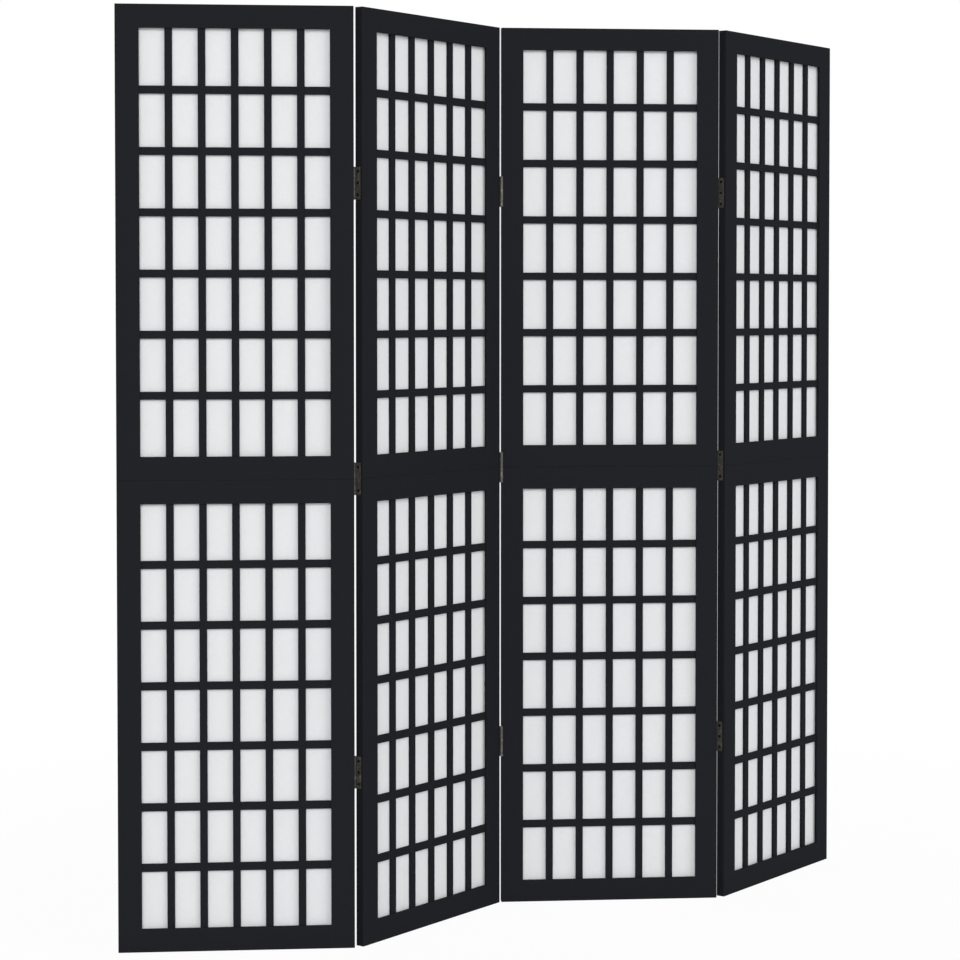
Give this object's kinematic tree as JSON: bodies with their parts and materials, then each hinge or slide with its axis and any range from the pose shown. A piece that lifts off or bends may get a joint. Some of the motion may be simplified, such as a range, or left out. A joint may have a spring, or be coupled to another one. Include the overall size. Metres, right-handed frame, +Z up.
{
  "type": "folding screen",
  "caption": "Free-standing folding room divider: black wooden panels hinged in a zigzag, each of stacked half-frames with lath lattices over white translucent fabric.",
  "frame": {"origin": "on the floor, at the middle of the screen as it stands folded in a zigzag", "axes": "+Z up; +X along the screen from its first panel to its last; the front faces -Y"},
  "size_m": [1.6778, 0.2026, 1.8],
  "materials": {
    "frame_black": "satin black paint over wood",
    "lath_black": "satin black paint over wood",
    "screen_fabric": "matt white woven fabric, translucent",
    "hinge_brass": "dark antique brass",
    "pin_brass": "dark antique brass",
    "screw_brass": "dark antique brass",
    "dowel_wood": "plain beech"
  },
  "bodies": {
    "panel_1": {"fold_1_2_hinge_pins": "pin_brass", "fold_1_2_left_leaves": "hinge_brass", "panel_1_dowels": "dowel_wood", "panel_1_hinge_screws": "screw_brass", "panel_1_lower_fabric": "screen_fabric", "panel_1_lower_front_lattice": "lath_black", "panel_1_lower_rails": "frame_black", "panel_1_lower_rear_lattice": "lath_black", "panel_1_lower_stiles": "frame_black", "panel_1_upper_fabric": "screen_fabric", "panel_1_upper_front_lattice": "lath_black", "panel_1_upper_rails": "frame_black", "panel_1_upper_rear_lattice": "lath_black", "panel_1_upper_stiles": "frame_black"},
    "panel_2": {"fold_1_2_right_leaves": "hinge_brass", "fold_2_3_hinge_pins": "pin_brass", "fold_2_3_left_leaves": "hinge_brass", "panel_2_dowels": "dowel_wood", "panel_2_hinge_screws": "screw_brass", "panel_2_lower_fabric": "screen_fabric", "panel_2_lower_front_lattice": "lath_black", "panel_2_lower_rails": "frame_black", "panel_2_lower_rear_lattice": "lath_black", "panel_2_lower_stiles": "frame_black", "panel_2_upper_fabric": "screen_fabric", "panel_2_upper_front_lattice": "lath_black", "panel_2_upper_rails": "frame_black", "panel_2_upper_rear_lattice": "lath_black", "panel_2_upper_stiles": "frame_black"},
    "panel_3": {"fold_2_3_right_leaves": "hinge_brass", "fold_3_4_hinge_pins": "pin_brass", "fold_3_4_left_leaves": "hinge_brass", "panel_3_dowels": "dowel_wood", "panel_3_hinge_screws": "screw_brass", "panel_3_lower_fabric": "screen_fabric", "panel_3_lower_front_lattice": "lath_black", "panel_3_lower_rails": "frame_black", "panel_3_lower_rear_lattice": "lath_black", "panel_3_lower_stiles": "frame_black", "panel_3_upper_fabric": "screen_fabric", "panel_3_upper_front_lattice": "lath_black", "panel_3_upper_rails": "frame_black", "panel_3_upper_rear_lattice": "lath_black", "panel_3_upper_stiles": "frame_black"},
    "panel_4": {"fold_3_4_right_leaves": "hinge_brass", "panel_4_dowels": "dowel_wood", "panel_4_hinge_screws": "screw_brass", "panel_4_lower_fabric": "screen_fabric", "panel_4_lower_front_lattice": "lath_black", "panel_4_lower_rails": "frame_black", "panel_4_lower_rear_lattice": "lath_black", "panel_4_lower_stiles": "frame_black", "panel_4_upper_fabric": "screen_fabric", "panel_4_upper_front_lattice": "lath_black", "panel_4_upper_rails": "frame_black", "panel_4_upper_rear_lattice": "lath_black", "panel_4_upper_stiles": "frame_black"}
  },
  "joints": [
    {"name": "fold_1_2", "type": "hinge", "parent": "panel_1", "child": "panel_2", "pos_m": [-0.42054, -0.08228, 0.9], "axis": [0, 0, 1], "range_deg": [-49.1, 130.9]},
    {"name": "fold_2_3", "type": "hinge", "parent": "panel_2", "child": "panel_3", "pos_m": [0, 0.08228, 0.9], "axis": [0, 0, -1], "range_deg": [-49.1, 130.9]},
    {"name": "fold_3_4", "type": "hinge", "parent": "panel_3", "child": "panel_4", "pos_m": [0.42054, -0.08228, 0.9], "axis": [0, 0, 1], "range_deg": [-49.1, 130.9]}
  ]
}
